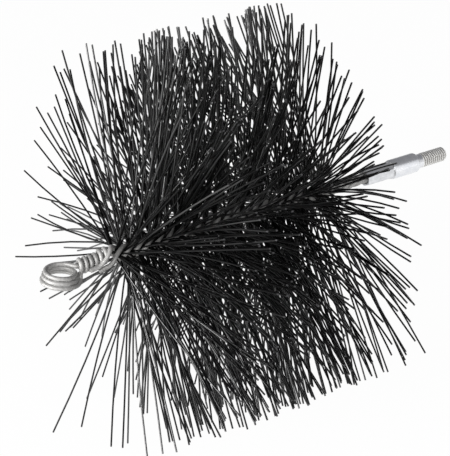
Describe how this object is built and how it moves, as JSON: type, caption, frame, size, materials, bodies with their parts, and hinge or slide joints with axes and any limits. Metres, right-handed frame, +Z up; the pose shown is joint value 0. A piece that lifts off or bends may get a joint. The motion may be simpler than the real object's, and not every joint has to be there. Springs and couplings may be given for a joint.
{
  "type": "chimney sweep brush",
  "caption": "Round chimney sweep brush: stiff black bristles held in a twisted wire stem with a coiled wire eye at one end and a crimped ferrule with a threaded stud at the other.",
  "frame": {"origin": "centre of the flat face at the tip of the threaded stud", "axes": "+X along the stem from the wire eye towards the stud's tip, +Z up, +Y completes a right-handed frame"},
  "size_m": [0.2431, 0.1982, 0.2026],
  "materials": {
    "stem_wire": "galvanised steel wire, satin",
    "ferrule": "bright zinc plated turned steel",
    "bristle": "black synthetic filament, satin"
  },
  "bodies": {
    "root": {"eye_wire": "stem_wire", "stem_wire_2": "stem_wire", "stem_wire_3": "stem_wire", "stem_wire_4": "stem_wire", "threaded_ferrule": "ferrule", "bristles_front": "bristle", "bristles_mid_front": "bristle", "bristles_mid_back": "bristle", "bristles_back": "bristle"}
  },
  "joints": []
}
